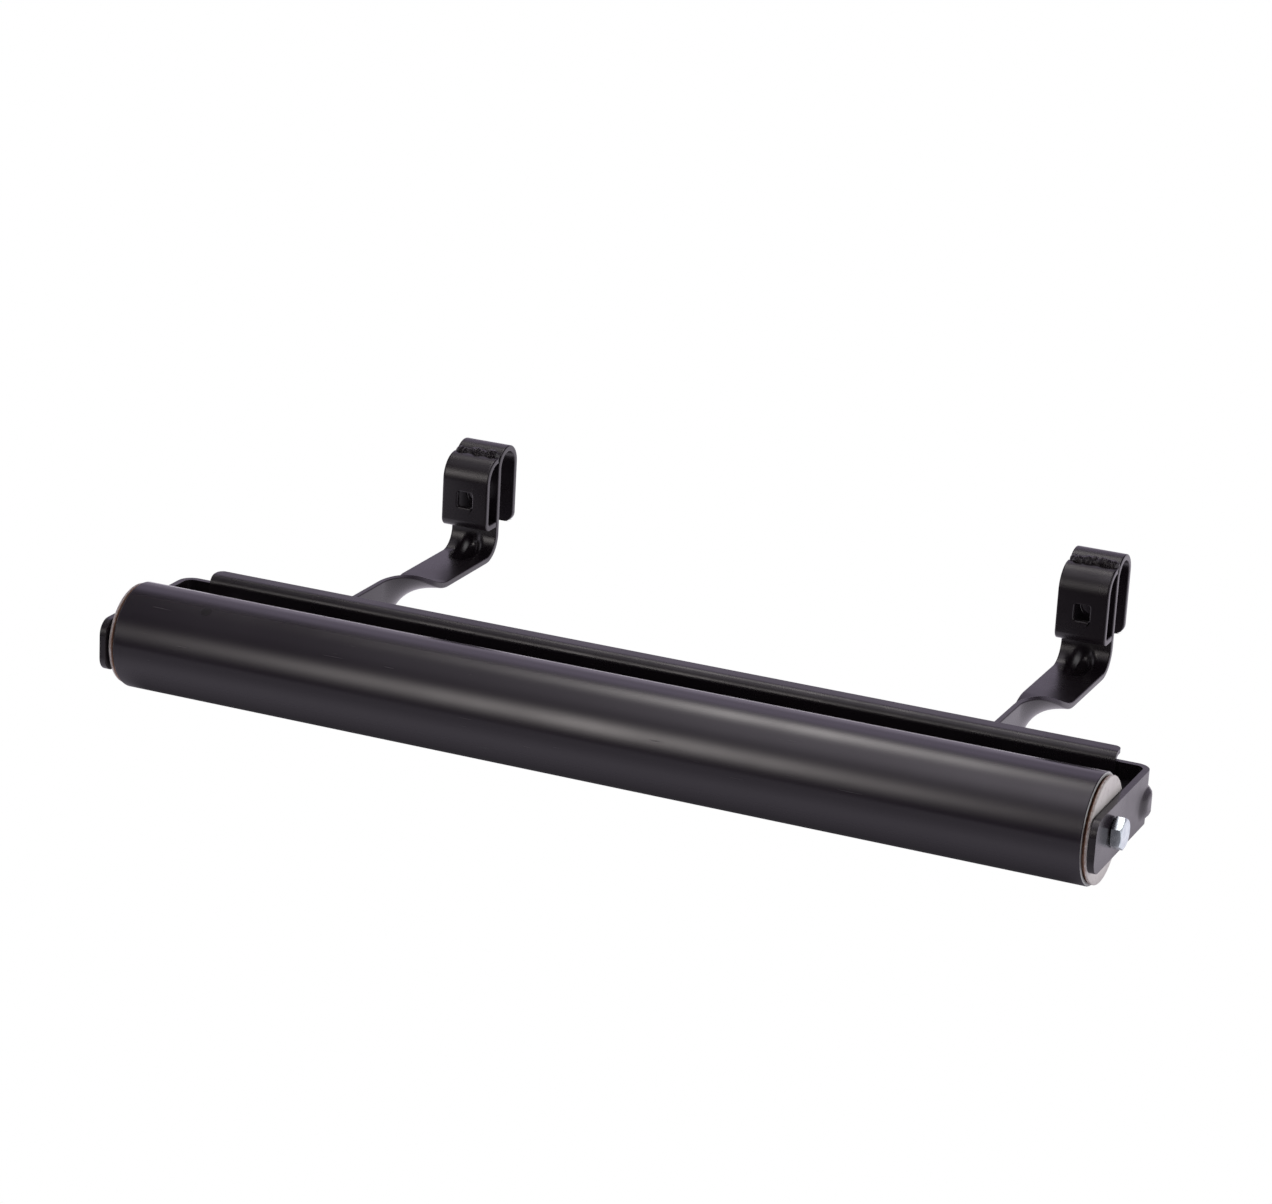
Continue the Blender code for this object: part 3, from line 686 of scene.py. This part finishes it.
class Wire:
    # one output of a node, which adds, multiplies and so on like a number
    def __init__(self, maker, socket):
        self.maker = maker
        self.socket = socket

    def math(self, operation, *values):
        return self.maker.node("ShaderNodeMath", {"operation": operation}, dict(enumerate(values)))

    def __add__(self, other):
        return self.math("ADD", self, other)

    def __radd__(self, other):
        return self.math("ADD", other, self)

    def __sub__(self, other):
        return self.math("SUBTRACT", self, other)

    def __rsub__(self, other):
        return self.math("SUBTRACT", other, self)

    def __mul__(self, other):
        return self.math("MULTIPLY", self, other)

    def __rmul__(self, other):
        return self.math("MULTIPLY", other, self)

    def __truediv__(self, other):
        return self.math("DIVIDE", self, other)

    def range(self, low, high, toLow=0.0, toHigh=1.0):
        # a smooth step from toLow to toHigh
        return self.maker.node("ShaderNodeMapRange", {"interpolation_type": "SMOOTHSTEP"},
                               {0: self, 1: low, 2: high, 3: toLow, 4: toHigh})


class NodeMaker:
    def __init__(self, owner):
        owner.use_nodes = True
        self.tree = owner.node_tree
        self.tree.nodes.clear()

    def node(self, kind, settings, inputs, output=0):
        made = self.tree.nodes.new(kind)
        for key, value in settings.items():
            if key == "stops":
                ramp = made.color_ramp
                while len(ramp.elements) < len(value):
                    ramp.elements.new(1.0)
                for stop, (place, colour) in zip(ramp.elements, value):
                    stop.position = place
                    stop.color = (*colour, 1)
            else:
                setattr(made, key, value)
        for key, value in inputs.items():
            if isinstance(value, Wire):
                self.tree.links.new(value.socket, made.inputs[key])
            else:
                made.inputs[key].default_value = value
        return Wire(self, made.outputs[output])

    def place(self, scale=(1, 1, 1), turn=(0, 0, 0)):
        where = self.node("ShaderNodeTexCoord", {}, {}, "Object")
        return self.node("ShaderNodeMapping", {}, {"Vector": where, "Scale": scale, "Rotation": turn})

    def noise(self, scale, detail=3.0, where=None, rough=0.55):
        where = where or self.place()
        return self.node("ShaderNodeTexNoise", {}, {"Vector": where, "Scale": scale, "Detail": detail,
                                                    "Roughness": rough})

    def mix(self, factor, first, second):
        return self.node("ShaderNodeMix", {"data_type": "RGBA"}, {0: factor, 6: first, 7: second}, 2)

    def bump(self, height, strength, distance, normal=None):
        inputs = {"Height": height, "Strength": strength, "Distance": distance}
        if normal:
            inputs["Normal"] = normal
        return self.node("ShaderNodeBump", {}, inputs)

    def edges(self, low, high):
        bend = self.node("ShaderNodeNewGeometry", {}, {}, "Pointiness")
        return bend.range(low, high)

    def surface(self, **inputs):
        names = {key.replace("_", " "): value for key, value in inputs.items()}
        self.finish("ShaderNodeOutputMaterial", self.node("ShaderNodeBsdfPrincipled", {}, names))

    def finish(self, kind, shader):
        out = self.tree.nodes.new(kind)
        self.tree.links.new(shader.socket, out.inputs["Surface"])

    def apart(self, vector):
        parts = self.tree.nodes.new("ShaderNodeSeparateXYZ")
        self.tree.links.new(vector.socket, parts.inputs[0])
        return [Wire(self, parts.outputs[n]) for n in range(3)]


def newFinish(name):
    material = bpy.data.materials.new(name)
    return material, NodeMaker(material)


def grey(level):
    return (level, level, level, 1)


paint = {
    "colour": (0.0095, 0.0070, 0.0092, 1),
    "dust": (0.10, 0.10, 0.105, 1),
    "worn": (0.045, 0.042, 0.04, 1),
    "rough": 0.21,
    "rougher": 0.30,
    "dusty": 0.5,                     # how much dust and wear show
    "wear": 0.35,
    "peel": 0.012,                    # bump strengths
    "grain": 0.012,
    "scratch": -0.05,
    "weldLumps": 0.5,
}


def blackPaint(name="blackPaint", lumpy=0.0):
    material, make = newFinish(name)
    smudge = make.noise(26, 5, rough=0.6)
    fine = make.noise(700, 2)
    peel = make.noise(260, 2)
    flecks = make.noise(1500, 1).range(0.76, 0.80)
    rare = make.noise(90, 2).range(0.50, 0.66)
    lines = make.noise(60, 2, make.place((1, 22, 22), (0.2, 0.1, 0.5))).range(0.715, 0.74)
    dusty = flecks * rare
    worn = make.edges(0.53, 0.60) * make.noise(160, 4).range(0.45, 0.62)
    colour = make.mix(dusty * paint["dusty"], paint["colour"], paint["dust"])
    colour = make.mix(worn * paint["wear"], colour, paint["worn"])
    rough = smudge.range(0.3, 0.7, paint["rough"], paint["rougher"])
    rough = rough + fine * 0.04 + lines * 0.1 + dusty * 0.2
    normal = make.bump(peel, paint["peel"], 0.2 * mm)
    normal = make.bump(fine, paint["grain"], 0.05 * mm, normal)
    normal = make.bump(lines, paint["scratch"], 0.04 * mm, normal)
    if lumpy:
        normal = make.bump(make.noise(650, 6, rough=0.7), lumpy, 0.5 * mm, normal)
    make.surface(Base_Color=colour, Roughness=rough, Normal=normal, IOR=1.5)
    return material


sleeveLook = {
    "colour": (0.0225, 0.0195, 0.0250, 1),
    "rough": 0.15,
    "rougher": 0.20,
    "scuff": (0.05, 0.048, 0.052, 1),
    "endHighlight": (235.22 * mm, 235.34 * mm),      # where the painted highlight on the sleeve's end edge begins
    "endHighlightColour": (0.62, 0.66, 0.64, 1),
    "rubPlace": (-193.6 * mm, -227.4 * mm, -28.4 * mm),
    "rubSize": (0.6 * mm, 3.4 * mm),           # fully dark inside the first, gone past the second
    "rubColour": (0.001, 0.001, 0.001, 1),
}


def blackSleeve():
    material, make = newFinish("blackSleeve")
    cloud = make.noise(14, 4)
    fine = make.noise(1300, 2)
    along = make.noise(40, 3, make.place((0.35, 6, 6)))
    scratches = make.noise(34, 2, make.place((1.2, 30, 30), (0.3, 0, 0.9))).range(0.725, 0.745)
    specks = make.noise(1100, 1).range(0.77, 0.80) * make.noise(60, 2).range(0.5, 0.65)
    where = make.node("ShaderNodeTexCoord", {}, {}, "Object")
    across = make.apart(where)[0]
    # a pale ring round the sleeve's end: a painted highlight on its end edge
    endHighlight = across.math("ABSOLUTE", across).range(*sleeveLook["endHighlight"])
    rub = 1 - make.node("ShaderNodeVectorMath", {"operation": "DISTANCE"},
                        {0: where, 1: sleeveLook["rubPlace"]}, 1).range(*sleeveLook["rubSize"])
    colour = make.mix(scratches * 0.35 + specks * 0.4, sleeveLook["colour"], sleeveLook["scuff"])
    colour = make.mix(rub * 0.95, colour, sleeveLook["rubColour"])
    # paints the highlight on the end edge into the colour
    colour = make.mix(endHighlight, colour, sleeveLook["endHighlightColour"])
    rough = cloud.range(0.3, 0.7, sleeveLook["rough"], sleeveLook["rougher"])
    rough = rough + fine * 0.03 + scratches * 0.1 + endHighlight * 0.15
    normal = make.bump(along, 0.06, 0.2 * mm)
    normal = make.bump(fine, 0.04, 0.04 * mm, normal)
    normal = make.bump(scratches, -0.15, 0.05 * mm, normal)
    make.surface(Base_Color=colour, Roughness=rough, Normal=normal, IOR=1.5)
    return material


tubeLook = {
    "rust": (0.10, 0.05, 0.032),
    "brown": (0.26, 0.15, 0.10),
    "copper": (0.42, 0.30, 0.23),
    "rough": 0.36,
    "rougher": 0.55,
}


def bareTube():
    material, make = newFinish("bareTube")
    patches = make.noise(240, 5, rough=0.65)
    turned = make.noise(120, 3, make.place((30, 1, 1)))
    colour = make.node("ShaderNodeValToRGB", {"stops": (
        (0.30, tubeLook["rust"]), (0.52, tubeLook["brown"]), (0.75, tubeLook["copper"]))}, {0: patches})
    rough = patches.range(0.3, 0.7, tubeLook["rougher"], tubeLook["rough"]) + turned * 0.08
    normal = make.bump(turned, 0.15, 0.05 * mm)
    normal = make.bump(patches, 0.2, 0.06 * mm, normal)
    make.surface(Base_Color=colour, Roughness=rough, Metallic=0.75, Normal=normal)
    return material


capLook = {
    "clean": (0.66, 0.645, 0.60, 1),
    "cleaner": (0.75, 0.74, 0.69, 1),
    "grime": (0.40, 0.36, 0.32, 1),
    "brown": (0.30, 0.17, 0.11, 1),
    "innerEdge": (236.75 * mm, 237.05 * mm),
    "outerEdge": (237.5 * mm, 237.9 * mm),
    "stained": 0.55,
    "rough": 0.42,
    "rougher": 0.55,
}


def greyCap():
    material, make = newFinish("greyCap")
    cloud = make.noise(70, 4)
    grain = make.noise(1600, 3)
    grime = make.noise(300, 4).range(0.56, 0.72)
    across = make.apart(make.node("ShaderNodeTexCoord", {}, {}, "Object"))[0]
    away = across.math("ABSOLUTE", across)
    stain = make.noise(420, 4, rough=0.7).range(0.35, 0.62)
    # brown at the inner edge of the rim, and stained across it
    browned = 1 - away.range(*capLook["innerEdge"])
    browned = browned + (1 - away.range(*capLook["outerEdge"])) * stain * capLook["stained"]
    colour = make.mix(cloud.range(0.3, 0.7), capLook["clean"], capLook["cleaner"])
    colour = make.mix(grime * 0.3, colour, capLook["grime"])
    colour = make.mix(browned.math("MINIMUM", browned, 1.0), colour, capLook["brown"])
    rough = cloud.range(0.3, 0.7, capLook["rough"], capLook["rougher"]) + grain * 0.05
    normal = make.bump(grain, 0.12, 0.06 * mm)
    make.surface(Base_Color=colour, Roughness=rough, Normal=normal)
    return material


zincLook = {
    "blue": (0.50, 0.58, 0.60, 1),
    "pale": (0.68, 0.77, 0.76, 1),
    "worn": (0.84, 0.87, 0.88, 1),
    "rough": 0.19,
    "rougher": 0.26,
}


def zincPlate():
    material, make = newFinish("zincPlate")
    cloud = make.noise(320, 4)
    fine = make.noise(2600, 2)
    strokes = make.noise(90, 3, make.place((14, 1, 1)))
    wear = make.edges(0.52, 0.58)
    colour = make.mix(cloud.range(0.3, 0.7), zincLook["blue"], zincLook["pale"])
    colour = make.mix(wear * 0.5, colour, zincLook["worn"])
    rough = cloud.range(0.3, 0.7, zincLook["rough"], zincLook["rougher"]) + fine * 0.05
    normal = make.bump(strokes, 0.08, 0.05 * mm)
    normal = make.bump(fine, 0.08, 0.03 * mm, normal)
    make.surface(Base_Color=colour, Roughness=rough, Metallic=1.0, Normal=normal)
    return material


steelLook = {
    "dull": (0.50, 0.50, 0.51, 1),
    "bright": (0.62, 0.62, 0.63, 1),
    "rough": 0.14,
    "rougher": 0.26,
}


def bearingSteel():
    material, make = newFinish("bearingSteel")
    cloud = make.noise(400, 3)
    lathe = make.noise(110, 3, make.place((22, 1, 1)))
    colour = make.mix(cloud.range(0.3, 0.7), steelLook["dull"], steelLook["bright"])
    rough = cloud.range(0.3, 0.7, steelLook["rough"], steelLook["rougher"]) + lathe * 0.06
    normal = make.bump(lathe, 0.08, 0.03 * mm)
    make.surface(Base_Color=colour, Roughness=rough, Metallic=1.0, Normal=normal)
    return material


sealLook = {
    "black": (0.018, 0.018, 0.018, 1),
    "dusty": (0.05, 0.048, 0.045, 1),
    "rough": 0.5,
    "rougher": 0.7,
}


def sealRubber():
    material, make = newFinish("sealRubber")
    grain = make.noise(1900, 3)
    cloud = make.noise(200, 4)
    colour = make.mix(cloud.range(0.35, 0.7), sealLook["black"], sealLook["dusty"])
    rough = cloud.range(0.3, 0.7, sealLook["rough"], sealLook["rougher"])
    make.surface(Base_Color=colour, Roughness=rough, Normal=make.bump(grain, 0.15, 0.05 * mm))
    return material


def paintOn(material, *pieces):
    for piece in pieces:
        if piece.material_slots:
            for slot in piece.material_slots:
                slot.material = material
        else:
            piece.data.materials.append(material)


studio = {
    "floorZ": -76.0 * mm,
    "floorSize": 30.0,
    "floorFront": -0.37,              # the card ends just in front of the roller
    "floorNear": 0.43,                # its brightness in front,
    "floorFar": 1.05,                 # behind and at the sides,
    "floorShadowLevel": 0.07,               # and in the painted shadow under the object
    "floorTint": (1.0, 0.93, 1.05, 1),
    "behind": (-0.30, -0.20),         # where the floor turns from near to far
    "shadowSides": (0.225, 0.262),     # where the painted shadow under the object fades out
    "shadowFront": (-0.26, -0.225),
    "shadowBack": (-0.15, -0.06),
    "camera": (0.68, -1.77385, 0.574),
    "right": (0.9119, 0.4072, 0.0517),
    "up": (-0.1734, 0.2682, 0.9476),
    "back": (0.372, -0.8731, 0.3152),
    "lens": 114.6,
    "sensor": 36,
    "dimmest": (0.036, 0.023, 0.036, 1),
}

# soft lights round the object: where their middle is from left to right (-1 to 1), where it is round
# from the front over the top in degrees, how far they spread in both, how bright they are, and their tint
softLights = (
    ("frontWindow", -0.375, 21, 0.055, 15, 7.2, (1.0, 0.94, 0.92)),
    ("topWindow", -0.325, 106, 0.038, 13, 8.8, (1.0, 0.95, 0.94)),
    ("ceiling", -0.265, 74, 0.115, 28, 2.2, (1.0, 0.93, 1.02)),
    ("backWall", -0.33, 138, 0.32, 14, 0.8, (1.0, 0.88, 1.16)),
    ("lowBackWall", 0.0, 166, 1.2, 14, 0.68, (1.0, 0.90, 1.12)),
    ("rightWall", 0.88, 60, 0.16, 70, 2.4, (1.0, 0.98, 1.0)),
    ("leftWall", -0.95, 100, 0.12, 80, 0.9, (1.0, 0.95, 1.05)),
)


def makeFloor():
    bpy.ops.object.select_all(action="DESELECT")
    middle = studio["floorFront"] + studio["floorSize"] / 2
    bpy.ops.mesh.primitive_plane_add(size=studio["floorSize"], location=(0, middle, studio["floorZ"]))
    floor = startPiece("floor")
    material, make = newFinish("floorCard")
    where = make.node("ShaderNodeTexCoord", {}, {}, "Object")
    across, depth = make.apart(where)[:2]
    behind = depth.range(*studio["behind"])
    inWidth = 1 - across.math("ABSOLUTE", across).range(*studio["shadowSides"])
    # painted shadow: the floor is darker where the object would shade it from the lights
    paintedShadow = inWidth * depth.range(*studio["shadowFront"]) * (1 - depth.range(*studio["shadowBack"]))
    uncovered = studio["floorNear"] + behind * (studio["floorFar"] - studio["floorNear"])
    level = uncovered * (1 - paintedShadow) + paintedShadow * studio["floorShadowLevel"]
    lit = make.node("ShaderNodeEmission", {}, {"Color": studio["floorTint"], "Strength": level})
    white = make.node("ShaderNodeEmission", {}, {"Color": grey(1), "Strength": 1.0})
    seen = make.node("ShaderNodeLightPath", {}, {}, "Is Camera Ray")
    shown = make.node("ShaderNodeMixShader", {}, {0: seen, 1: lit, 2: white})
    make.finish("ShaderNodeOutputMaterial", shown)
    paintOn(material, floor)


def makeLight():
    world = bpy.data.worlds.new("studio")
    bpy.context.scene.world = world
    make = NodeMaker(world)
    across, depth, up = make.apart(make.node("ShaderNodeTexCoord", {}, {}, "Generated"))
    turn = up.math("ARCTAN2", up, -1 * depth) * (180 / math.pi)
    light = studio["dimmest"][:3]
    for name, middle, middleTurn, spread, spreadTurn, strength, tint in softLights:
        offX = (across - middle) / spread
        offTurn = turn.math("WRAP", turn - middleTurn, -180.0, 180.0) / spreadTurn
        lobe = strength * offX.math("EXPONENT", -1 * (offX * offX + offTurn * offTurn))
        coloured = make.node("ShaderNodeVectorMath", {"operation": "SCALE"}, {0: tint, "Scale": lobe})
        light = make.node("ShaderNodeVectorMath", {"operation": "ADD"}, {0: coloured, 1: light})
    seen = make.node("ShaderNodeLightPath", {}, {}, "Is Camera Ray")
    tinted = make.node("ShaderNodeBackground", {}, {"Color": light, "Strength": 1.0})
    white = make.node("ShaderNodeBackground", {}, {"Color": grey(1), "Strength": 1.0})
    shown = make.node("ShaderNodeMixShader", {}, {0: seen, 1: tinted, 2: white})
    make.finish("ShaderNodeOutputWorld", shown)


def makeCamera():
    axes = Matrix((studio["right"], studio["up"], studio["back"])).transposed()
    bpy.ops.object.select_all(action="DESELECT")
    bpy.ops.object.camera_add(location=studio["camera"], rotation=axes.to_euler())
    camera = bpy.context.object
    camera.data.lens = studio["lens"]
    camera.data.sensor_width = studio["sensor"]
    camera.data.clip_start = 0.01
    bpy.context.scene.camera = camera
    bpy.context.scene.view_settings.view_transform = "Standard"


bracketBar = makeBracket()
print("bracket done")
railFold = makeRail()
print("rail done")
arms = makeArms()
print("arms done")
plates = makePlates()
print("plates done")
welds = makeWelds()
print("welds done")
sleeve, tube, *caps = makeRoller()
print("roller done")
bolts = makeBolts()
print("bolts done")

black = blackPaint()
paintOn(black, bracketBar, railFold, *arms, *plates)
paintOn(blackPaint("weldPaint", paint["weldLumps"]), *welds)
paintOn(blackSleeve(), sleeve)
paintOn(bareTube(), tube)
paintOn(greyCap(), *caps)
paintOn(zincPlate(), *bolts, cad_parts["axle"])
steel = bearingSteel()
rubber = sealRubber()
for side, sign in sides:
    for node in ("inner_race_", "outer_race_", "ball_row_", "axle_clip_"):
        paintOn(steel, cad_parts[node + side])
    paintOn(rubber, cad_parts["dust_seal_" + side])
print("finishes done")

makeFloor()
makeLight()
makeCamera()
